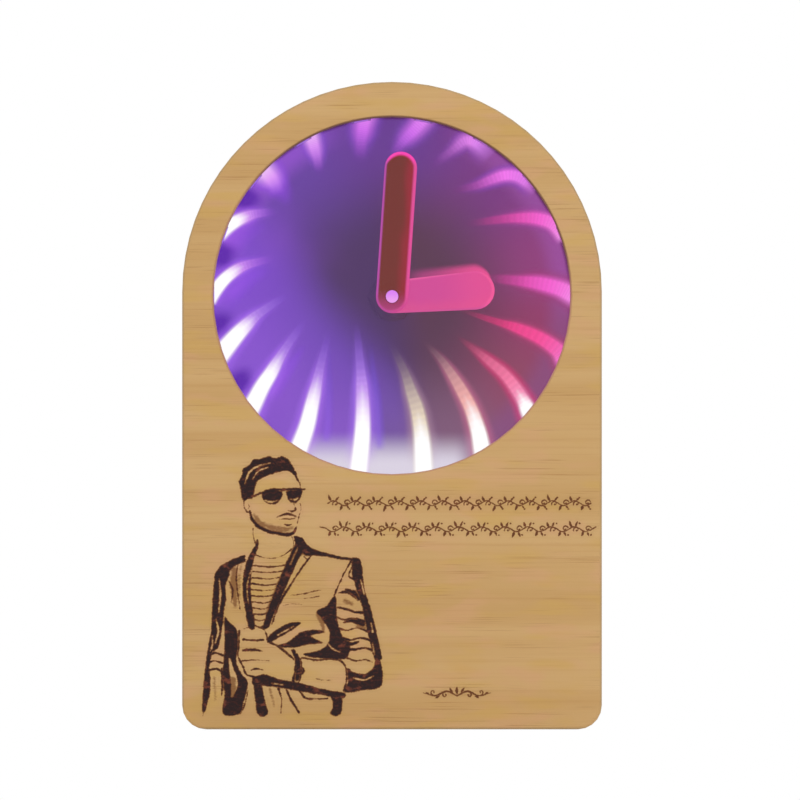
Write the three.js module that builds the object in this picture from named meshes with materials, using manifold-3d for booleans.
// LED table clock: an arch-topped bamboo body with a round mirror tunnel lit by a ring of LEDs.
// Millimetres, +Z up, -Y is the front, the origin is the middle of the footprint.
import * as THREE from 'three';
import { mergeVertices } from 'three/addons/utils/BufferGeometryUtils.js';
import Module from 'manifold-3d';

const wasm = await Module();
wasm.setup();

// Clearances used throughout
const fitGap = 0.3;
const seatGap = 0.1;
const runGap = 0.12;
const endPlay = 0.2;
const overrun = 1;
const weldTolerance = 0.0005;

// Body
const bodyWidth = 105;
const bodyHeight = 162;
const bodyDepth = 42;
const cornerRadius = 6;
const edgeEase = 0.7;
const wallThickness = 4.3;
const panelThickness = 5;
const coverThickness = 3;

// Window and lens
const windowCover = 3.45;
const windowDrop = 0.95;
const windowEase = 0.4;
const lensLip = 1.4;
const lensThickness = 2;

// Lit chamber: spacer ring, LED strip, rear mirror and the board behind it
const ringWall = 0.8;
const ringLip = 1;
const ringLipReach = 1.6;
const tapeGap = 0.1;
const stripThickness = 0.3;
const stripMargin = 0.5;
const ledCount = 18;
const ledSizeShare = 0.5;
const ledHeight = 1.5;
const mirrorThickness = 2;
const boardThickness = 2;

// Lower pocket of the housing and the web above it
const webThickness = 8.6;
const pocketCorner = 5;
const leadSlotWidth = 7;

// Movement case
const movementSize = 56;
const movementCorner = 4;
const movementWall = 1.2;
const movementGap = 1.5;
const movementDepthShare = 0.579;
const bayHeightShare = 0.2892;
const postRadius = 1.2;
const pivotRadius = 0.5;
const pivotDepth = 0.8;

// Threaded bush, its washer and nut
const bushRadius = 4;
const bushReachShare = 0.25;
const washerRadius = 6.2;
const washerThicknessShare = 0.05;
const nutAcrossFlats = 11;
const nutThicknessShare = 0.1667;
const nutEaseShare = 0.175;

// Hands, with their tips measured from the window's edge and their depths as shares of the chamber's
const handThicknessShare = 0.15;
const handGapShare = 0.05;
const handEase = 0.15;
const minuteTipGap = 8;
const minuteWidth = 8.2;
const minuteAngle = 3.9;
const hourTipGap = 18.65;
const hourWidth = 8.2;
const hourTipWidth = 9.7;
const hourAngle = 85.5;
const arborRadius = 1.6;
const arborProudShare = 0.0833;
const tubeWall = 0.85;

// Gear train: modules as shares of the movement's size, layers as shares of its depth
const motionModuleShare = 0.00857;
const trainModuleShare = 0.00554;
const cannonTeeth = 10;
const motionTeeth = 30;
const motionPinionTeeth = 8;
const hourTeeth = 32;
const settingTeeth = 10;
const centreTeeth = 30;
const thirdPinionTeeth = 10;
const thirdTeeth = 32;
const fourthPinionTeeth = 8;
const fourthTeeth = 35;
const rotorTeeth = 7;
const wheelThicknessShare = 0.0485;
const wheelGapShare = 0.0242;
const motionAngle = 30;
const thirdAngle = 150;
const fourthAngle = 110;
const rotorAngle = 150;
const toothTopShare = 0.5;
const toothPitchShare = 0.8;
const toothRootShare = 1.22;
const addendumShare = 0.85;
const dedendumShare = 1.2;

// Motor
const magnetRadius = 3;
const magnetLengthShare = 0.1333;
const magnetAirGap = 0.4;
const statorWeb = 1;
const statorLift = 1.9;
const coilRadius = 3.2;
const coilWindingDrop = 0.35;
const coilLength = 19;
const coilFlange = 1;
const coreWidth = 3;
const coreReach = 4;

// Movement circuit board
const circuitWidth = 13;
const circuitHeight = 22;
const circuitThickness = 0.8;
const circuitBack = 2.2;
const chipRadius = 3.2;
const chipHeight = 1.1;
const chipTopShare = 0.7;
const crystalRadius = 0.9;
const crystalLiftShare = 0.9;
const crystalLength = 6;

// Battery, AA size in its bay, and its contacts
const cellPlay = 0.65;
const cellDepthPlay = 0.55;
const nubRadius = 2.75;
const nubLength = 1.1;
const cellEase = 0.6;
const contactThickness = 0.35;
const contactWidthShare = 0.634;
const contactBow = 0.85;
const contactGap = 0.4;

// Setting knob
const stemRadius = 1.5;
const knobRadius = 6.5;
const knobThickness = 3.3;
const knobFlutes = 16;
const knobFluteDepth = 0.35;
const knobWellGap = 2;
const knobSink = 0.5;

// Battery door
const doorThickness = 1.8;
const doorMargin = 0.6;
const doorPinRadius = 0.6;
const doorPinReach = 1.4;
const doorHingeDrop = 1.25;
const latchWidth = 10;
const latchThickness = 1;
const latchReach = 1.4;
const gripCount = 5;
const gripHeight = 0.8;
const gripPitch = 2;
const gripDepth = 0.4;
const gripWidth = 14;

// Back cover
const clampRadius = 2.5;
const clampInset = 3.2;
const clampCount = 4;
const screwRadius = 1;
const screwHeadRadius = 2;
const screwHeadHeight = 1.4;
const screwLength = 12;
const lowScrewInset = 8.5;
const webScrewInset = 8;
const webScrewRise = 11;
const archScrewAngle = 42;

// Light board with its switch, button and power socket
const lightBoardWidth = 64;
const lightBoardHeightShare = 0.671;
const lightBoardRiseShare = 0.1614;
const lightBoardThickness = 1.6;
const lightBoardCorner = 2;
const standoffRadius = 3;
const standoffHeight = 5;
const standoffInset = 4;
const boardScrewHead = 1.9;
const boardScrewHeadHeight = 1.3;
const boardScrewLength = 5;
const driverChipWidth = 5;
const driverChipLength = 4;
const driverChipHeight = 1.5;
const capacitorRadius = 2.5;
const capacitorHeight = 5.4;
const controlOffset = 18;
const controlRiseShare = 0.3125;
const switchSize = 6;
const switchHeight = 3.5;
const plungerRadius = 1.7;
const plungerSeat = 1.2;
const buttonRadius = 4;
const buttonFlange = 1;
const buttonFlangeThickness = 0.7;
const buttonSink = 0.3;
const buttonTravel = 0.5;
const socketWidth = 8.9;
const socketHeight = 3.3;
const socketWall = 0.35;
const socketSink = 0.6;
const tongueThickness = 0.7;
const tongueWidth = 6.6;
const tongueSink = 0.9;

// Leads from the LED strip to the light board
const leadRadius = 0.55;
const leadSpacing = 3;
const leadDrop = 11;
const leadLanding = 10;

// Facets
const bodySteps = 36;
const cornerSteps = 5;
const smallCornerSteps = 3;
const windowSteps = 60;
const ringSteps = 48;
const roundSteps = 16;
const handSteps = 12;
const smallSteps = 8;
const leadSides = 8;
const leadSteps = 14;

// Levels from front to back
const archRadius = bodyWidth / 2;
const archCentreZ = bodyHeight - archRadius;
const dialZ = archCentreZ - windowDrop;
const frontY = -bodyDepth / 2;
const backY = bodyDepth / 2;
const panelBackY = frontY + panelThickness;
const coverFrontY = backY - coverThickness;
const innerHalf = movementSize / 2 - movementWall;
const bayHeight = 2 * innerHalf * bayHeightShare;
const movementBackY = coverFrontY - movementGap;
const depthRoom = movementBackY - panelBackY - mirrorThickness - boardThickness;
const movementDepth = movementDepthShare * depthRoom;
const boardBackY = movementBackY - movementDepth;
const mirrorBackY = boardBackY - boardThickness;
const chamberBackY = mirrorBackY - mirrorThickness;
const chamberDepth = chamberBackY - panelBackY;
const stripWidth = chamberDepth - ringLip - 2 * stripMargin;
const ledSize = ledSizeShare * stripWidth;
const leadSlotDepth = ledSize;
const boreRadius = archRadius - wallThickness;
const windowRadius = boreRadius - windowCover;
const lensRebateRadius = windowRadius + lensLip;
const pocketTop = dialZ - boreRadius - webThickness;
const pocketHeight = pocketTop - wallThickness;

// Helpers: welding, booleans and the few basic forms

// Every geometry is kept as welded triangles with no slivers, facing out.
function weld(geometry) {
  const bare = new THREE.BufferGeometry();
  bare.setAttribute('position', geometry.getAttribute('position'));
  bare.setIndex(geometry.index);
  const merged = mergeVertices(bare, weldTolerance);
  const source = merged.index.array;
  const kept = [];
  for (let i = 0; i < source.length; i += 3) {
    const [a, b, c] = [source[i], source[i + 1], source[i + 2]];
    if (a !== b && b !== c && c !== a) kept.push(a, b, c);
  }
  merged.setIndex(kept);
  return signedVolume(merged) < 0 ? reversed(merged) : merged;
}

function signedVolume(geometry) {
  const position = geometry.getAttribute('position');
  const index = geometry.index.array;
  const [a, b, c] = [new THREE.Vector3(), new THREE.Vector3(), new THREE.Vector3()];
  let sum = 0;
  for (let i = 0; i < index.length; i += 3) {
    a.fromBufferAttribute(position, index[i]);
    b.fromBufferAttribute(position, index[i + 1]);
    c.fromBufferAttribute(position, index[i + 2]);
    sum += a.dot(b.cross(c));
  }
  return sum / 6;
}

function reversed(geometry) {
  const index = Array.from(geometry.index.array);
  for (let i = 0; i < index.length; i += 3) {
    [index[i + 1], index[i + 2]] = [index[i + 2], index[i + 1]];
  }
  geometry.setIndex(index);
  return geometry;
}

function toSolid(geometry) {
  const welded = weld(geometry);
  return new wasm.Manifold(new wasm.Mesh({
    numProp: 3,
    vertProperties: Float32Array.from(welded.getAttribute('position').array),
    triVerts: Uint32Array.from(welded.index.array),
  }));
}

function fromSolid(solid) {
  const mesh = solid.getMesh();
  const geometry = new THREE.BufferGeometry();
  const positions = new Float32Array(mesh.vertProperties);
  geometry.setAttribute('position', new THREE.BufferAttribute(positions, 3));
  geometry.setIndex(Array.from(mesh.triVerts));
  return geometry;
}

function join(first, ...others) {
  return fromSolid(others.reduce((sum, other) => sum.add(toSolid(other)), toSolid(first)));
}

function cut(first, ...others) {
  return fromSolid(others.reduce((rest, other) => rest.subtract(toSolid(other)), toSolid(first)));
}

// A flat outline in the plane of the dial, extruded from nearY back to farY
function slab(shape, nearY, farY, ease = 0) {
  const geometry = new THREE.ExtrudeGeometry(shape, {
    depth: farY - nearY - 2 * ease,
    bevelEnabled: ease > 0,
    bevelThickness: ease,
    bevelSize: ease,
    bevelOffset: -ease,
    bevelSegments: 1,
    curveSegments: smallSteps,
  });
  return geometry.rotateX(Math.PI / 2).translate(0, farY - ease, 0);
}

// A profile of [radius, y] pairs turned about the front-to-back axis
function turned(profile, steps = roundSteps) {
  return weld(new THREE.LatheGeometry(profile.map(([r, y]) => new THREE.Vector2(r, y)), steps));
}

function rod(radius, nearY, farY, steps = roundSteps) {
  return turned([[0, nearY], [radius, nearY], [radius, farY], [0, farY]], steps);
}

function block(width, height, nearY, farY) {
  return new THREE.BoxGeometry(width, farY - nearY, height).translate(0, (nearY + farY) / 2, 0);
}

function at(geometry, x, z) {
  return geometry.clone().translate(x, 0, z);
}

function arcPoints(x, z, radius, from, to, steps) {
  const points = [];
  for (let i = 0; i <= steps; i += 1) {
    const angle = from + ((to - from) * i) / steps;
    points.push(new THREE.Vector2(x + radius * Math.cos(angle), z + radius * Math.sin(angle)));
  }
  return points;
}

function roundedBox(width, height, radius, steps = smallCornerSteps) {
  const [x, z] = [width / 2 - radius, height / 2 - radius];
  const quarter = Math.PI / 2;
  return new THREE.Shape([
    ...arcPoints(x, -z, radius, -quarter, 0, steps),
    ...arcPoints(x, z, radius, 0, quarter, steps),
    ...arcPoints(-x, z, radius, quarter, 2 * quarter, steps),
    ...arcPoints(-x, -z, radius, 2 * quarter, 3 * quarter, steps),
  ]);
}

// Point at a distance and an angle from another, in the plane of the dial
function polar(from, distance, degrees) {
  const angle = THREE.MathUtils.degToRad(degrees);
  return [from[0] + distance * Math.cos(angle), from[1] + distance * Math.sin(angle)];
}

// The clock as a scene graph

const clock = new THREE.Group();
clock.name = 'led_table_clock';

const finishes = {
  bamboo: { color: 0xcba36a, roughness: 0.55, metalness: 0 },
  clear: { color: 0x9a86b0, roughness: 0.03, metalness: 0, transparent: true, opacity: 0.35 },
  mirror: { color: 0x5a4378, roughness: 0.04, metalness: 0.9 },
  whitePlastic: { color: 0xe6e4df, roughness: 0.4, metalness: 0 },
  blackPlastic: { color: 0x1c1c1e, roughness: 0.5, metalness: 0 },
  redAcrylic: { color: 0xd8457f, roughness: 0.12, metalness: 0 },
  gearPlastic: { color: 0xf0ead8, roughness: 0.4, metalness: 0 },
  brass: { color: 0xc8a24a, roughness: 0.3, metalness: 1 },
  steel: { color: 0xa8a9ab, roughness: 0.3, metalness: 1 },
  copper: { color: 0xb46a3c, roughness: 0.35, metalness: 0.9 },
  greenBoard: { color: 0x1e5b3a, roughness: 0.45, metalness: 0 },
  ledStrip: { color: 0xf2eee6, roughness: 0.4, metalness: 0 },
  rubber: { color: 0x242424, roughness: 0.8, metalness: 0 },
  cellWrap: { color: 0x2f6f9f, roughness: 0.35, metalness: 0.2 },
  leadRed: { color: 0xa82820, roughness: 0.5, metalness: 0 },
  leadBlack: { color: 0x202022, roughness: 0.5, metalness: 0 },
};

function place(parent, name, geometry, finish) {
  const faceted = weld(geometry).toNonIndexed();
  faceted.computeVertexNormals();
  const mesh = new THREE.Mesh(faceted, new THREE.MeshStandardMaterial(finishes[finish]));
  mesh.name = name;
  parent.add(mesh);
  return mesh;
}

// The dial group has its origin on the hands' axis, so the dial's pieces use that centre.
const dial = new THREE.Group();
dial.position.z = dialZ;
clock.add(dial);

// Bamboo body: one arch outline for the panel, the housing and the cover

function archOutline(inset) {
  const half = archRadius - inset;
  const corner = cornerRadius - inset;
  const quarter = Math.PI / 2;
  return [
    ...arcPoints(half - corner, inset + corner, corner, -quarter, 0, cornerSteps),
    ...arcPoints(0, archCentreZ, half, 0, 2 * quarter, bodySteps),
    ...arcPoints(-half + corner, inset + corner, corner, 2 * quarter, 3 * quarter, cornerSteps),
  ];
}

// A solid through levels of [y, inset], each holding the arch outline at that inset
function archLoft(levels) {
  const rings = levels.map(([, inset]) => archOutline(inset));
  const count = rings[0].length;
  const positions = [];
  rings.forEach((ring, level) => {
    ring.forEach((point) => positions.push(point.x, levels[level][0], point.y));
  });
  const index = [];
  for (let level = 0; level < rings.length - 1; level += 1) {
    for (let i = 0; i < count; i += 1) {
      const [a, b] = [level * count + i, level * count + ((i + 1) % count)];
      index.push(a, b, b + count, a, b + count, a + count);
    }
  }
  const last = (rings.length - 1) * count;
  THREE.ShapeUtils.triangulateShape(rings[0], []).forEach(([a, b, c]) => {
    index.push(a, c, b);
    index.push(last + a, last + b, last + c);
  });
  const geometry = new THREE.BufferGeometry();
  geometry.setAttribute('position', new THREE.Float32BufferAttribute(positions, 3));
  geometry.setIndex(index);
  return weld(geometry);
}

// Rounded edge of a face at faceY whose body lies towards inward (+1 back, -1 front)
function easedEdge(faceY, inward) {
  return [0, 0.5, 1].map((share) => {
    const angle = (share * Math.PI) / 2;
    return [faceY + inward * edgeEase * (1 - Math.cos(angle)), edgeEase * (1 - Math.sin(angle))];
  });
}

function frontPanel() {
  const blank = archLoft([...easedEdge(frontY, 1), [panelBackY, 0]]);
  const seatY = panelBackY - lensThickness;
  const bore = turned([
    [0, frontY - overrun],
    [windowRadius + windowEase + overrun, frontY - overrun],
    [windowRadius, frontY + windowEase],
    [windowRadius, seatY],
    [lensRebateRadius, seatY],
    [lensRebateRadius, panelBackY + overrun],
    [0, panelBackY + overrun],
  ], windowSteps);
  return cut(blank, at(bore, 0, dialZ));
}

// Places of the six cover screws, on the middle of the housing's wood
function coverScrewPlaces() {
  const archMiddle = (archRadius + boreRadius) / 2;
  const webX = archRadius - webScrewInset;
  const low = [archRadius - lowScrewInset / 2, lowScrewInset / 2];
  const webZ = pocketTop + webScrewRise;
  const high = polar([0, archCentreZ], archMiddle, archScrewAngle);
  const right = [low, [webX, webZ], high];
  return [...right.map(([x, z]) => [-x, z]), ...right];
}

function housing() {
  const blank = archLoft([[panelBackY, 0], [coverFrontY, 0]]);
  const bore = rod(boreRadius, panelBackY - overrun, coverFrontY + overrun, windowSteps);
  const pocketWidth = bodyWidth - 2 * wallThickness;
  const pocket = slab(
    roundedBox(pocketWidth, pocketHeight, pocketCorner, cornerSteps),
    panelBackY - overrun,
    coverFrontY + overrun,
  );
  const slotBottom = pocketTop - overrun;
  const slotTop = dialZ - boreRadius + overrun;
  const slotY = (panelBackY + chamberBackY) / 2;
  const halfSlot = leadSlotDepth / 2;
  const slot = block(leadSlotWidth, slotTop - slotBottom, slotY - halfSlot, slotY + halfSlot);
  const pilots = coverScrewPlaces().map(([x, z]) => at(
    rod(screwRadius + runGap, backY - screwLength - fitGap, coverFrontY + overrun, smallSteps),
    x,
    z,
  ));
  return cut(
    blank,
    at(bore, 0, dialZ),
    at(pocket, 0, (pocketTop + wallThickness) / 2),
    at(slot, 0, (slotTop + slotBottom) / 2),
    ...pilots,
  );
}

place(clock, 'front_panel', frontPanel(), 'bamboo');
place(clock, 'housing_frame', housing(), 'bamboo');

// Lit chamber, front to back: half-mirror lens, spacer ring with the LED strip, rear mirror, board

const lensRadius = lensRebateRadius - fitGap;
const ringOuter = boreRadius - 2 * seatGap;
const ringInner = ringOuter - ringWall;
const stripOuter = ringInner - tapeGap;
const stripInner = stripOuter - stripThickness;
const stripMiddleY = (panelBackY + ringLip + chamberBackY) / 2;
const discRadius = boreRadius - fitGap;
const dialHole = bushRadius + fitGap;

function spacerRing() {
  const lipRadius = ringInner - ringLipReach;
  const ring = turned([
    [ringOuter, panelBackY],
    [ringOuter, chamberBackY],
    [ringInner, chamberBackY],
    [ringInner, panelBackY + ringLip],
    [lipRadius, panelBackY + ringLip],
    [lipRadius, panelBackY],
    [ringOuter, panelBackY],
  ], ringSteps);
  const halfSlot = leadSlotDepth / 2;
  const notchHeight = 2 * ringWall + overrun;
  const notch = block(leadSlotWidth, notchHeight, stripMiddleY - halfSlot, stripMiddleY + halfSlot);
  return cut(ring, at(notch, 0, -ringOuter));
}

function ledStrip() {
  const [nearY, farY] = [stripMiddleY - stripWidth / 2, stripMiddleY + stripWidth / 2];
  const tape = turned([
    [stripOuter, nearY],
    [stripOuter, farY],
    [stripInner, farY],
    [stripInner, nearY],
    [stripOuter, nearY],
  ], ringSteps);
  const packages = [];
  for (let i = 0; i < ledCount; i += 1) {
    const [ledFrontY, ledBackY] = [stripMiddleY - ledSize / 2, stripMiddleY + ledSize / 2];
    const led = block(ledSize, ledHeight + stripThickness, ledFrontY, ledBackY);
    led.translate(0, 0, stripInner - ledHeight / 2 + stripThickness / 4);
    led.rotateY(((i + 0.5) / ledCount) * 2 * Math.PI);
    packages.push(led);
  }
  return join(tape, ...packages);
}

function disc(nearY, farY) {
  return turned([
    [dialHole, nearY],
    [discRadius, nearY],
    [discRadius, farY],
    [dialHole, farY],
    [dialHole, nearY],
  ], ringSteps);
}

place(dial, 'front_lens', rod(lensRadius, panelBackY - lensThickness, panelBackY, windowSteps), 'clear');
place(dial, 'spacer_ring', spacerRing(), 'blackPlastic');
place(dial, 'led_strip', ledStrip(), 'ledStrip');
place(dial, 'rear_mirror', disc(chamberBackY, mirrorBackY), 'mirror');
place(dial, 'movement_board', disc(mirrorBackY, boardBackY), 'blackPlastic');

// Gears: straight-flanked clock teeth on a wheel whose first tooth points at phase degrees

function gearOutline(teeth, module, phase, boreSize) {
  const pitchRadius = (teeth * module) / 2;
  const tip = pitchRadius + addendumShare * module;
  const root = pitchRadius - dedendumShare * module;
  const halfTooth = (Math.PI / 2 / teeth) * toothPitchShare;
  const start = THREE.MathUtils.degToRad(phase);
  const corners = [
    [root, -toothRootShare],
    [tip, -toothTopShare],
    [tip, toothTopShare],
    [root, toothRootShare],
  ];
  const points = [];
  for (let i = 0; i < teeth; i += 1) {
    const middle = start + (i / teeth) * 2 * Math.PI;
    corners.forEach(([radius, share]) => {
      const angle = middle + share * halfTooth;
      points.push(new THREE.Vector2(radius * Math.cos(angle), radius * Math.sin(angle)));
    });
  }
  const shape = new THREE.Shape(points);
  if (boreSize > 0) {
    shape.holes.push(new THREE.Path(arcPoints(0, 0, boreSize, 0, 2 * Math.PI, roundSteps).slice(1)));
  }
  return shape;
}

function gear(teeth, module, phase, nearY, farY, boreSize = 0) {
  return slab(gearOutline(teeth, module, phase, boreSize), nearY, farY);
}

// A pinion that meshes in one layer and reaches into the next, where it joins what it drives
function pinionOf(teeth, module, phase, meshY, nextY) {
  return gear(teeth, module, phase, meshY - pinionOverlap, nextY + pinionOverlap);
}

// Phase of a follower in mesh with a driver whose phase is known, along the line of centres
function meshPhase(driverPhase, driverTeeth, followerTeeth, lineAngle) {
  const offset = driverPhase - lineAngle;
  return lineAngle + 180 - (offset * driverTeeth) / followerTeeth + 180 / followerTeeth;
}

const floorY = boardBackY + movementWall;
const lidFrontY = movementBackY - movementWall;
const halfMovement = movementSize / 2;
const bayTop = -innerHalf + bayHeight;
const gearRoomBottom = bayTop + movementWall;
const gearRoomHeight = innerHalf - gearRoomBottom;
const bushFrontY = chamberBackY - bushReachShare * chamberDepth;

// Axes of the train, from the hands' axis
const hub = [0, 0];
const motionModule = motionModuleShare * movementSize;
const trainModule = trainModuleShare * movementSize;
const motionDistance = (motionModule * (cannonTeeth + motionTeeth)) / 2;
const hourModule = (2 * motionDistance) / (motionPinionTeeth + hourTeeth);
const settingDistance = (motionModule * (motionTeeth + settingTeeth)) / 2;
const thirdDistance = (motionModule * (centreTeeth + thirdPinionTeeth)) / 2;
const fourthDistance = (trainModule * (thirdTeeth + fourthPinionTeeth)) / 2;
const rotorDistance = (trainModule * (fourthTeeth + rotorTeeth)) / 2;
const motionAxis = polar(hub, motionDistance, motionAngle);
const settingAngle = 180 - motionAngle;
const settingAxis = polar(motionAxis, settingDistance, settingAngle);
const thirdAxis = polar(hub, thirdDistance, thirdAngle);
const fourthAxis = polar(thirdAxis, fourthDistance, fourthAngle);
const rotorAxis = polar(fourthAxis, rotorDistance, rotorAngle);

// Layers of the train, front faces
const wheelThickness = wheelThicknessShare * movementDepth;
const wheelGap = wheelGapShare * movementDepth;
const pinionOverlap = wheelGap / 2;
const magnetLength = magnetLengthShare * movementDepth;
const statorThickness = wheelThickness;
const layerPitch = wheelThickness + wheelGap;
const hourLayerY = floorY + wheelGap;
const motionLayerY = hourLayerY + layerPitch;
const centreLayerY = motionLayerY + layerPitch;
const thirdLayerY = centreLayerY + layerPitch;
const fourthLayerY = thirdLayerY + layerPitch;
const magnetLayerY = fourthLayerY + layerPitch;
const statorY = magnetLayerY + (magnetLength - statorThickness) / 2;

// Phases of the teeth at rest
const cannonPhase = motionAngle;
const motionPhase = meshPhase(cannonPhase, cannonTeeth, motionTeeth, motionAngle);
const settingPhase = meshPhase(motionPhase, motionTeeth, settingTeeth, settingAngle);
const hourPhase = motionAngle;
const motionPinionPhase = meshPhase(hourPhase, hourTeeth, motionPinionTeeth, motionAngle);
const centrePhase = thirdAngle;
const thirdPinionPhase = meshPhase(centrePhase, centreTeeth, thirdPinionTeeth, thirdAngle);
const thirdPhase = fourthAngle;
const fourthPinionPhase = meshPhase(thirdPhase, thirdTeeth, fourthPinionTeeth, fourthAngle);
const fourthPhase = rotorAngle;
const rotorPhase = meshPhase(fourthPhase, fourthTeeth, rotorTeeth, rotorAngle);

const tubeBore = arborRadius + runGap;
const tubeRadius = tubeBore + tubeWall;
const bushBore = tubeRadius + runGap;
const handThickness = handThicknessShare * chamberDepth;
const handGap = handGapShare * chamberDepth;
const hourHandY = bushFrontY - handGap - handThickness;
const minuteHandY = hourHandY - handGap - handThickness;
const pivotFrontY = floorY - pivotDepth + endPlay;

// Movement case: square tray with a battery bay, a gear room, floor bearings and the threaded bush

function roomShape(bottom, height) {
  const shape = roundedBox(2 * innerHalf, height, movementCorner - movementWall);
  const middle = bottom + height / 2;
  return new THREE.Shape(shape.getPoints().map((point) => new THREE.Vector2(point.x, point.y + middle)));
}

// Pivot axes with the level where each one's rear pivot enters its post
const postFronts = [
  [hub, thirdLayerY + wheelGap / 2],
  [motionAxis, motionLayerY + layerPitch],
  [thirdAxis, fourthLayerY + layerPitch],
  [fourthAxis, fourthLayerY + layerPitch],
  [rotorAxis, magnetLayerY + magnetLength + wheelGap],
];
const coreEndX = coilLength / 2 + coreReach / 2;
const coilMiddle = [rotorAxis[0] + coilLength / 3, innerHalf - coilRadius - endPlay * 3];
const circuitMiddle = [innerHalf - circuitWidth / 2 - fitGap, circuitHeight / 6];
const circuitFrontY = lidFrontY - circuitBack - circuitThickness;
const circuitPosts = [
  [circuitMiddle[0] - circuitWidth / 2 + 2 * postRadius, circuitMiddle[1] - circuitHeight / 2 + postRadius],
  [circuitMiddle[0] + circuitWidth / 2 - 2 * postRadius, circuitMiddle[1] + circuitHeight / 2 - postRadius],
];

function movementCase() {
  const outer = roundedBox(movementSize, movementSize, movementCorner);
  const tray = slab(outer, boardBackY, movementBackY);
  const bay = slab(roomShape(-innerHalf, bayHeight), floorY, movementBackY + overrun);
  const gearRoom = slab(roomShape(gearRoomBottom, gearRoomHeight), floorY, movementBackY + overrun);
  const lidBottom = bayTop + seatGap;
  const lidSeat = block(
    movementSize + 2 * overrun,
    halfMovement - lidBottom + overrun,
    lidFrontY,
    movementBackY + overrun,
  );
  const bush = rod(bushRadius, bushFrontY, boardBackY + movementWall / 2);
  const bushHole = rod(bushBore, bushFrontY - overrun, floorY + overrun);
  const pivotHole = rod(pivotRadius + runGap, floorY - pivotDepth, floorY + overrun, smallSteps);
  const bearings = [motionAxis, settingAxis, thirdAxis, fourthAxis, rotorAxis];
  const pivotHoles = bearings.map((axis) => at(pivotHole, ...axis));
  const coilPost = rod(postRadius, floorY - movementWall / 2, statorY, smallSteps);
  const circuitPost = rod(postRadius, floorY - movementWall / 2, circuitFrontY, smallSteps);
  const hollow = cut(
    tray,
    bay,
    gearRoom,
    at(lidSeat, 0, (lidBottom + halfMovement + overrun) / 2),
  );
  const posts = [
    at(coilPost, coilMiddle[0] - coreEndX, coilMiddle[1]),
    at(coilPost, coilMiddle[0] + coreEndX, coilMiddle[1]),
    ...circuitPosts.map((spot) => at(circuitPost, ...spot)),
  ];
  return cut(join(hollow, bush, ...posts), bushHole, ...pivotHoles);
}

function movementLid() {
  const lidBottom = bayTop + 2 * seatGap;
  const outline = roundedBox(movementSize, movementSize, movementCorner);
  const plate = slab(outline, lidFrontY, movementBackY);
  const bayCut = block(
    movementSize + 2 * overrun,
    lidBottom + halfMovement + overrun,
    lidFrontY - overrun,
    movementBackY + overrun,
  );
  const cutMiddle = (lidBottom - halfMovement - overrun) / 2;
  const stemHole = rod(stemRadius + runGap, lidFrontY - overrun, movementBackY + overrun);
  const postRootY = lidFrontY + movementWall / 2;
  const posts = postFronts.map(([axis, y]) => at(rod(postRadius, y, postRootY, smallSteps), ...axis));
  const holes = postFronts.map(([axis, y]) => at(
    rod(pivotRadius + runGap, y - overrun, y + pivotDepth, smallSteps),
    ...axis,
  ));
  return cut(join(cut(plate, at(bayCut, 0, cutMiddle)), ...posts), at(stemHole, ...settingAxis), ...holes);
}

place(dial, 'movement_case', movementCase(), 'blackPlastic');
place(dial, 'movement_lid', movementLid(), 'blackPlastic');

// Washer and hex nut that clamp the mirror and board to the bush

const washerThickness = washerThicknessShare * chamberDepth;
const nutThickness = nutThicknessShare * chamberDepth;

function washer() {
  const hole = bushRadius + runGap;
  const nearY = chamberBackY - washerThickness;
  return turned([
    [hole, nearY],
    [washerRadius, nearY],
    [washerRadius, chamberBackY],
    [hole, chamberBackY],
    [hole, nearY],
  ], roundSteps);
}

function nut() {
  const farY = chamberBackY - washerThickness;
  const nearY = farY - nutThickness;
  const corner = nutAcrossFlats / 2 / Math.cos(Math.PI / 6);
  const hex = new THREE.Shape(arcPoints(0, 0, corner, 0, 2 * Math.PI, 6).slice(1));
  const blank = slab(hex, nearY, farY, nutEaseShare * nutThickness);
  return cut(blank, rod(bushRadius + runGap, nearY - overrun, farY + overrun));
}

place(dial, 'bush_washer', washer(), 'rubber');
place(dial, 'bush_nut', nut(), 'brass');

// Hands: round-ended acrylic bars with the first end's centre on the hub; the hour bar widens to its tip

function hand(reach, hubWidth, tipWidth, nearY, holeRadius) {
  const hubRound = hubWidth / 2;
  const tipRound = tipWidth / 2;
  const tipCentre = reach - tipRound;
  const lean = Math.asin((tipRound - hubRound) / tipCentre);
  const outline = new THREE.Shape([
    ...arcPoints(0, 0, hubRound, Math.PI + lean, 2 * Math.PI - lean, handSteps),
    ...arcPoints(0, tipCentre, tipRound, -lean, Math.PI + lean, handSteps),
  ]);
  outline.holes.push(new THREE.Path(arcPoints(0, 0, holeRadius, 0, 2 * Math.PI, roundSteps).slice(1)));
  return slab(outline, nearY, nearY + handThickness, handEase);
}

const minuteHand = place(
  dial,
  'minute_hand',
  hand(windowRadius - minuteTipGap, minuteWidth, minuteWidth, minuteHandY, arborRadius + runGap),
  'redAcrylic',
);
minuteHand.rotation.y = THREE.MathUtils.degToRad(minuteAngle);

const hourHand = place(
  dial,
  'hour_hand',
  hand(windowRadius - hourTipGap, hourWidth, hourTipWidth, hourHandY, tubeRadius + runGap),
  'redAcrylic',
);
hourHand.rotation.y = THREE.MathUtils.degToRad(hourAngle);

// Wheels and arbors

// A plain arbor between its front bearing in the floor and its post behind
function pivotRod(postFrontY) {
  return rod(pivotRadius, pivotFrontY, postFrontY + pivotDepth - endPlay, smallSteps);
}

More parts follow.
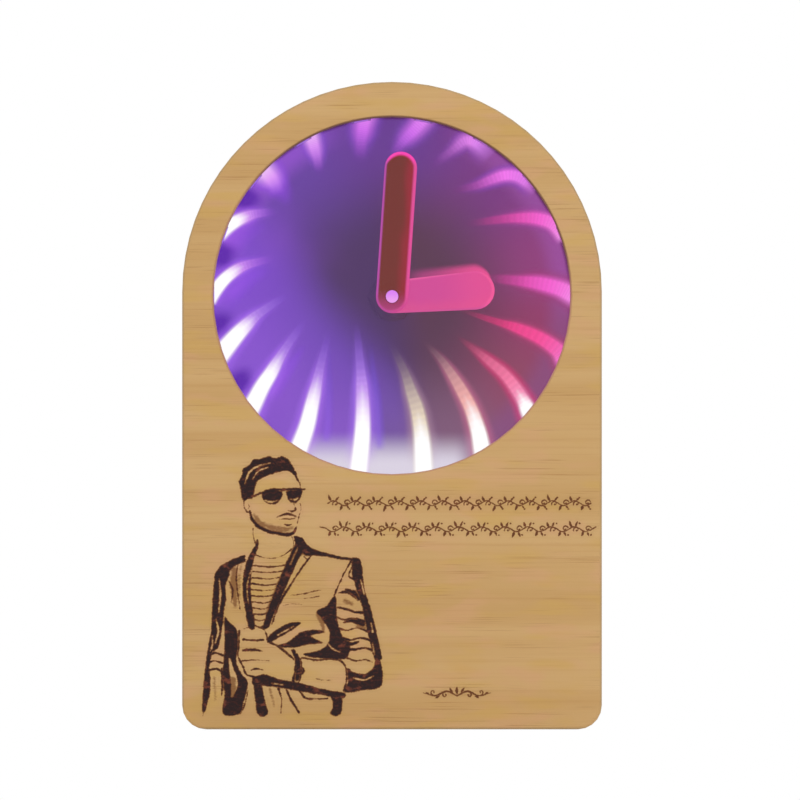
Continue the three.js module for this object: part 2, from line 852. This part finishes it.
function minuteArbor() {
  const shaftBackY = centreLayerY + wheelThickness + wheelGap / 2;
  const [, postFrontY] = postFronts[0];
  const shaft = rod(arborRadius, minuteHandY - arborProudShare * chamberDepth, shaftBackY);
  const pivot = rod(pivotRadius, shaftBackY - overrun, postFrontY + pivotDepth - endPlay, smallSteps);
  const cannonFrontY = motionLayerY - pinionOverlap;
  const cannon = gear(cannonTeeth, motionModule, cannonPhase, cannonFrontY, motionLayerY + wheelThickness);
  return join(shaft, pivot, cannon);
}

function hourWheel() {
  const wheel = gear(hourTeeth, hourModule, hourPhase, hourLayerY, hourLayerY + wheelThickness, tubeBore);
  const tube = rod(tubeRadius, hourHandY - endPlay, hourLayerY + wheelThickness / 2);
  return join(wheel, cut(tube, rod(tubeBore, hourHandY - overrun, hourLayerY + wheelThickness)));
}

function motionWheel() {
  const wheel = gear(motionTeeth, motionModule, motionPhase, motionLayerY, motionLayerY + wheelThickness);
  const pinion = pinionOf(motionPinionTeeth, hourModule, motionPinionPhase, hourLayerY, motionLayerY);
  return join(wheel, pinion, pivotRod(postFronts[1][1]));
}

function centreWheel() {
  return gear(centreTeeth, motionModule, centrePhase, centreLayerY, centreLayerY + wheelThickness, tubeBore);
}

function thirdWheel() {
  const wheel = gear(thirdTeeth, trainModule, thirdPhase, thirdLayerY, thirdLayerY + wheelThickness);
  const pinion = pinionOf(thirdPinionTeeth, motionModule, thirdPinionPhase, centreLayerY, thirdLayerY);
  return join(wheel, pinion, pivotRod(postFronts[2][1]));
}

function fourthWheel() {
  const wheel = gear(fourthTeeth, trainModule, fourthPhase, fourthLayerY, fourthLayerY + wheelThickness);
  const pinion = pinionOf(fourthPinionTeeth, trainModule, fourthPinionPhase, thirdLayerY, fourthLayerY);
  return join(wheel, pinion, pivotRod(postFronts[3][1]));
}

function rotor() {
  const pinion = pinionOf(rotorTeeth, trainModule, rotorPhase, fourthLayerY, magnetLayerY);
  const magnet = rod(magnetRadius, magnetLayerY, magnetLayerY + magnetLength);
  return join(magnet, pinion, pivotRod(postFronts[4][1]));
}

place(dial, 'minute_arbor', minuteArbor(), 'gearPlastic');
place(dial, 'hour_wheel', hourWheel(), 'gearPlastic');
place(dial, 'centre_wheel', centreWheel(), 'brass');

function placeOnAxis(name, geometry, finish, axis) {
  const mesh = place(dial, name, geometry, finish);
  mesh.position.set(axis[0], 0, axis[1]);
  return mesh;
}

placeOnAxis('motion_wheel', motionWheel(), 'gearPlastic', motionAxis);
placeOnAxis('third_wheel', thirdWheel(), 'gearPlastic', thirdAxis);
placeOnAxis('fourth_wheel', fourthWheel(), 'gearPlastic', fourthAxis);
placeOnAxis('rotor', rotor(), 'steel', rotorAxis);

// Setting knob: fluted disc, stem and pinion in one moulding

function settingKnob() {
  const farY = backY - knobSink;
  const nearY = farY - knobThickness;
  const points = [];
  for (let i = 0; i < 2 * knobFlutes; i += 1) {
    const angle = (i / knobFlutes) * Math.PI;
    const radius = knobRadius - (i % 2) * knobFluteDepth;
    points.push(new THREE.Vector2(radius * Math.cos(angle), radius * Math.sin(angle)));
  }
  const grip = slab(new THREE.Shape(points), nearY, farY, handEase);
  const pinionBackY = motionLayerY + wheelThickness;
  const pinion = pinionOf(settingTeeth, motionModule, settingPhase, motionLayerY, pinionBackY);
  const stem = rod(stemRadius, pinionBackY, nearY + overrun);
  const pivot = rod(pivotRadius, pivotFrontY, pinionBackY, smallSteps);
  return join(grip, stem, pinion, pivot);
}

placeOnAxis('setting_knob', settingKnob(), 'blackPlastic', settingAxis);

// Motor: laminated stator round the rotor and a coil on its core

function stator() {
  const hole = magnetRadius + magnetAirGap;
  const lobe = rod(hole + statorWeb, statorY, statorY + statorThickness);
  const barTop = coilMiddle[1] - coilRadius - endPlay;
  const barBottom = rotorAxis[1] + statorLift;
  const halfLength = coreEndX + coreReach / 2;
  const bar = block(2 * halfLength, barTop - barBottom, statorY, statorY + statorThickness);
  const tabHeight = coilMiddle[1] + coreWidth / 2 - barBottom;
  const tab = block(coreReach - endPlay, tabHeight, statorY, statorY + statorThickness);
  const tabMiddle = barBottom + tabHeight / 2;
  const plate = join(
    at(lobe, ...rotorAxis),
    at(bar, coilMiddle[0], (barTop + barBottom) / 2),
    at(tab, coilMiddle[0] - coreEndX, tabMiddle),
    at(tab, coilMiddle[0] + coreEndX, tabMiddle),
  );
  return cut(plate, at(rod(hole, statorY - overrun, statorY + statorThickness + overrun), ...rotorAxis));
}

function coil() {
  const half = coilLength / 2;
  const winding = coilRadius - coilWindingDrop;
  const spool = turned([
    [0, -half],
    [coilRadius, -half],
    [coilRadius, -half + coilFlange],
    [winding, -half + coilFlange],
    [winding, half - coilFlange],
    [coilRadius, half - coilFlange],
    [coilRadius, half],
    [0, half],
  ], roundSteps).rotateZ(Math.PI / 2);
  const coreY = statorY + statorThickness + seatGap;
  const core = block(coilLength + 2 * coreReach, coreWidth, coreY, coreY + statorThickness);
  return join(spool.translate(0, coreY + statorThickness / 2, 0), core);
}

place(dial, 'stator', stator(), 'steel');
placeOnAxis('coil', coil(), 'copper', coilMiddle);

function movementCircuit() {
  const farY = circuitFrontY + circuitThickness;
  const board = block(circuitWidth, circuitHeight, circuitFrontY, farY);
  const chip = turned([
    [0, farY - circuitThickness / 2],
    [chipRadius, farY - circuitThickness / 2],
    [chipRadius, farY + chipHeight / 4],
    [chipTopShare * chipRadius, farY + (3 * chipHeight) / 4],
    [0, farY + chipHeight],
  ], roundSteps);
  const crystal = new THREE.CylinderGeometry(crystalRadius, crystalRadius, crystalLength, smallSteps);
  crystal.rotateX(Math.PI / 2).translate(0, farY + crystalLiftShare * crystalRadius, 0);
  return join(board, at(chip, 0, circuitHeight / 4), at(crystal, 0, -circuitHeight / 4));
}

placeOnAxis('movement_circuit', movementCircuit(), 'greenBoard', circuitMiddle);

// Battery and its two bowed contact leaves

const cellAxis = [0, (-innerHalf + bayTop) / 2];
const cellY = (floorY + movementBackY) / 2;
const cellDepthRoom = (movementDepth - movementWall) / 2 - cellDepthPlay;
const cellRadius = Math.min(bayHeight / 2 - cellPlay, cellDepthRoom);
const contactReach = seatGap + contactThickness + contactBow + contactGap;
const cellLength = 2 * (innerHalf - contactReach);

function cell() {
  const half = cellLength / 2;
  const shoulder = half - nubLength;
  const body = turned([
    [0, -half],
    [cellRadius - cellEase, -half],
    [cellRadius, -half + cellEase],
    [cellRadius, shoulder - cellEase],
    [cellRadius - cellEase, shoulder],
    [nubRadius, shoulder],
    [nubRadius, half],
    [0, half],
  ], roundSteps);
  return body.rotateZ(-Math.PI / 2).translate(0, cellY, 0);
}

// A leaf whose middle bows towards the cell, at one end of the bay
function contact(side) {
  const backX = innerHalf - seatGap;
  const half = movementDepth / 3;
  const contactWidth = 2 * cellRadius * contactWidthShare;
  const shares = [-1, -0.5, 0, 0.5, 1];
  const bow = (share) => contactBow * Math.cos((share * Math.PI) / 2);
  const outer = shares.map((share) => new THREE.Vector2(side * (backX - bow(share)), share * half));
  const inner = outer.map((point) => new THREE.Vector2(point.x - side * contactThickness, point.y));
  const leaf = new THREE.ExtrudeGeometry(new THREE.Shape([...outer, ...inner.reverse()]), {
    depth: contactWidth,
    bevelEnabled: false,
  });
  return leaf.translate(0, cellY, -contactWidth / 2);
}

placeOnAxis('battery_cell', cell(), 'cellWrap', cellAxis);
placeOnAxis('battery_contact_plus', contact(1), 'steel', cellAxis);
placeOnAxis('battery_contact_minus', contact(-1), 'steel', cellAxis);

// Battery door: flush plate hinged on two moulded pins along its lower edge

const doorWidth = 2 * innerHalf;
const openingHalf = doorWidth / 2 + fitGap;
const openingBottom = dialZ - innerHalf - doorMargin;
const openingTop = dialZ + bayTop + doorMargin;
const hingeZ = openingBottom + doorHingeDrop;
const hingeY = backY - doorThickness / 2 - seatGap;
const doorTop = openingTop - fitGap;

function batteryDoor() {
  const half = doorThickness / 2;
  const plate = block(doorWidth, doorTop - hingeZ, hingeY - half, hingeY + half);
  const barrel = new THREE.CylinderGeometry(half, half, doorWidth, roundSteps).rotateZ(Math.PI / 2);
  const pinLength = doorWidth + 2 * doorPinReach;
  const pin = new THREE.CylinderGeometry(doorPinRadius, doorPinRadius, pinLength, smallSteps);
  const latchFrontY = hingeY - half - latchReach;
  const latch = block(latchWidth, latchThickness, latchFrontY, hingeY);
  const groove = block(gripWidth, gripHeight, hingeY + half - gripDepth, hingeY + half + overrun);
  const grooves = [];
  for (let i = 0; i < gripCount; i += 1) {
    grooves.push(at(groove, 0, doorTop - (i + 1) * gripPitch));
  }
  const body = join(
    at(plate, 0, (doorTop + hingeZ) / 2),
    barrel.translate(0, hingeY, hingeZ),
    pin.rotateZ(Math.PI / 2).translate(0, hingeY, hingeZ),
    at(latch, 0, doorTop - latchThickness / 2),
  );
  return cut(body, ...grooves);
}

place(clock, 'battery_door', batteryDoor(), 'blackPlastic');

// Back cover: plate with clamping pillars, board standoffs, a knob well and openings

const lightBoardBackY = coverFrontY - standoffHeight;
const lightBoardFrontY = lightBoardBackY - lightBoardThickness;
const lightBoardRise = wallThickness + lightBoardRiseShare * pocketHeight;
const lightBoardHeight = lightBoardHeightShare * pocketHeight;
const lightBoardMiddleZ = lightBoardRise + lightBoardHeight / 2;
const controlRise = controlRiseShare * lightBoardHeight;
const controlZ = lightBoardRise + controlRise;
const standoffPlaces = [[-1, -1], [1, -1], [-1, 1], [1, 1]].map(([x, z]) => [
  x * (lightBoardWidth / 2 - standoffInset),
  lightBoardMiddleZ + z * (lightBoardHeight / 2 - standoffInset),
]);

function backCover() {
  const plate = archLoft([[coverFrontY, 0], ...easedEdge(backY, -1).reverse()]);
  const clamps = [];
  for (let i = 0; i < clampCount; i += 1) {
    const spot = polar([0, dialZ], boreRadius - clampInset, (i * 360) / clampCount);
    clamps.push(at(rod(clampRadius, boardBackY + seatGap, coverFrontY + overrun, smallSteps), ...spot));
  }
  const standoffs = standoffPlaces.map((spot) => at(
    rod(standoffRadius, lightBoardBackY, coverFrontY + overrun, smallSteps),
    ...spot,
  ));
  const [nearY, farY] = [coverFrontY - overrun, backY + overrun];
  const doorway = block(2 * openingHalf, openingTop - openingBottom, nearY, farY);
  const pinHoleRadius = doorPinRadius + runGap;
  const pinHoleLength = 2 * (openingHalf + doorPinReach);
  const pinHole = new THREE.CylinderGeometry(pinHoleRadius, pinHoleRadius, pinHoleLength, smallSteps);
  const knobWell = rod(knobRadius + knobWellGap, nearY, farY);
  const buttonHole = rod(buttonRadius + runGap, nearY, farY);
  const socketHole = slab(
    roundedBox(socketWidth + 2 * fitGap, socketHeight + 2 * fitGap, socketHeight / 2 + fitGap / 2),
    nearY,
    farY,
  );
  const countersink = turned([
    [0, nearY],
    [screwRadius + runGap, nearY],
    [screwRadius + runGap, backY - screwHeadHeight],
    [screwHeadRadius + runGap, backY],
    [screwHeadRadius + runGap, farY],
    [0, farY],
  ], smallSteps);
  const screwHoleBackY = lightBoardBackY + boardScrewLength - 2 * seatGap;
  const boardScrewHole = rod(screwRadius, lightBoardBackY - overrun, screwHoleBackY, smallSteps);
  return cut(
    join(plate, ...clamps, ...standoffs),
    at(doorway, 0, (openingTop + openingBottom) / 2),
    pinHole.rotateZ(Math.PI / 2).translate(0, hingeY, hingeZ),
    at(knobWell, settingAxis[0], dialZ + settingAxis[1]),
    at(buttonHole, -controlOffset, controlZ),
    at(socketHole, controlOffset, controlZ),
    ...coverScrewPlaces().map((spot) => at(countersink, ...spot)),
    ...standoffPlaces.map((spot) => at(boardScrewHole, ...spot)),
  );
}

place(clock, 'back_cover', backCover(), 'blackPlastic');

// Countersunk cover screws

function coverScrew() {
  const headY = backY - seatGap;
  return turned([
    [0, backY - screwLength],
    [screwRadius, backY - screwLength + screwRadius],
    [screwRadius, headY - screwHeadHeight],
    [screwHeadRadius, headY],
    [0, headY],
  ], smallSteps);
}

coverScrewPlaces().forEach((spot, i) => {
  place(clock, `cover_screw_${i + 1}`, at(coverScrew(), ...spot), 'steel');
});

// Light board with its parts

function lightBoard() {
  const shape = roundedBox(lightBoardWidth, lightBoardHeight, lightBoardCorner);
  const board = slab(shape, lightBoardFrontY, lightBoardBackY);
  const middle = lightBoardFrontY + lightBoardThickness / 2;
  const chip = block(driverChipWidth, driverChipLength, lightBoardFrontY - driverChipHeight, middle);
  const capacitor = rod(capacitorRadius, lightBoardFrontY - capacitorHeight, middle);
  const holes = standoffPlaces.map(([x, z]) => at(
    rod(screwRadius + runGap, lightBoardFrontY - overrun, lightBoardBackY + overrun, smallSteps),
    x,
    z - lightBoardMiddleZ,
  ));
  const parts = join(
    board,
    at(chip, -controlOffset / 2, 0),
    at(capacitor, controlOffset, -controlRise / 2),
  );
  return at(cut(parts, ...holes), 0, lightBoardMiddleZ);
}

function boardScrew() {
  const headFrontY = lightBoardFrontY - boardScrewHeadHeight;
  const tipY = lightBoardBackY + boardScrewLength - fitGap * 2;
  return turned([
    [0, headFrontY],
    [boardScrewHead, headFrontY + boardScrewHeadHeight / 2],
    [boardScrewHead, lightBoardFrontY],
    [screwRadius - seatGap, lightBoardFrontY],
    [screwRadius - seatGap, tipY],
    [0, tipY],
  ], smallSteps);
}

place(clock, 'light_board', lightBoard(), 'greenBoard');
standoffPlaces.forEach((spot, i) => {
  place(clock, `board_screw_${i + 1}`, at(boardScrew(), ...spot), 'steel');
});

// Push switch, its plunger and the button cap over it

const switchBackY = lightBoardBackY + switchHeight;
const flangeBackY = coverFrontY - seatGap;
const flangeFrontY = flangeBackY - buttonFlangeThickness;

function pushSwitch() {
  const body = block(switchSize, switchSize, lightBoardBackY, switchBackY);
  const well = rod(plungerRadius + runGap, switchBackY - plungerSeat, switchBackY + overrun);
  return cut(body, well);
}

function plunger() {
  return rod(plungerRadius, switchBackY - plungerSeat + buttonTravel + endPlay, flangeFrontY);
}

function button() {
  const farY = backY - buttonSink;
  const cap = turned([
    [0, flangeFrontY],
    [buttonRadius + buttonFlange, flangeFrontY],
    [buttonRadius + buttonFlange, flangeBackY],
    [buttonRadius, flangeBackY],
    [buttonRadius, farY - handEase * 2],
    [buttonRadius - handEase * 2, farY],
    [0, farY],
  ], roundSteps);
  return cap;
}

place(clock, 'light_switch', at(pushSwitch(), -controlOffset, controlZ), 'blackPlastic');
place(clock, 'switch_plunger', at(plunger(), -controlOffset, controlZ), 'whitePlastic');
place(clock, 'light_button', at(button(), -controlOffset, controlZ), 'whitePlastic');

// Power socket: drawn oval shell with a contact tongue inside

function powerSocket() {
  const farY = backY - socketSink;
  const corner = socketHeight / 2 - seatGap;
  const shell = slab(roundedBox(socketWidth, socketHeight, corner), lightBoardBackY, farY);
  const mouth = slab(
    roundedBox(socketWidth - 2 * socketWall, socketHeight - 2 * socketWall, corner - socketWall),
    lightBoardBackY + 2 * socketWall,
    farY + overrun,
  );
  const tongue = block(tongueWidth, tongueThickness, lightBoardBackY + socketWall, farY - tongueSink);
  return join(cut(shell, mouth), tongue);
}

place(clock, 'power_socket', at(powerSocket(), controlOffset, controlZ), 'steel');

// Two leads from the strip's joint down through the web to the light board

function lead(side) {
  const x = (side * leadSpacing) / 2;
  const startZ = dialZ - stripOuter - fitGap;
  const pocketZ = pocketTop - leadDrop / 2;
  const landingZ = lightBoardRise + lightBoardHeight - leadLanding / 2;
  const landingY = lightBoardFrontY - fitGap;
  const drop = (startZ - landingZ) / 2;
  const path = new THREE.CatmullRomCurve3([
    new THREE.Vector3(x, stripMiddleY, startZ),
    new THREE.Vector3(x, stripMiddleY, startZ - drop / 3),
    new THREE.Vector3(x, stripMiddleY, pocketZ + drop / 3),
    new THREE.Vector3(x, stripMiddleY + leadDrop / 4, pocketZ),
    new THREE.Vector3(x, (stripMiddleY + landingY) / 2, landingZ + leadDrop / 4),
    new THREE.Vector3(x, landingY - leadLanding / 2, landingZ),
    new THREE.Vector3(x, landingY, landingZ),
  ]);
  const section = new THREE.Shape(arcPoints(0, 0, leadRadius, 0, 2 * Math.PI, leadSides).slice(1));
  return new THREE.ExtrudeGeometry(section, { steps: leadSteps, bevelEnabled: false, extrudePath: path });
}

place(clock, 'strip_lead_red', lead(1), 'leadRed');
place(clock, 'strip_lead_black', lead(-1), 'leadBlack');

export default clock;
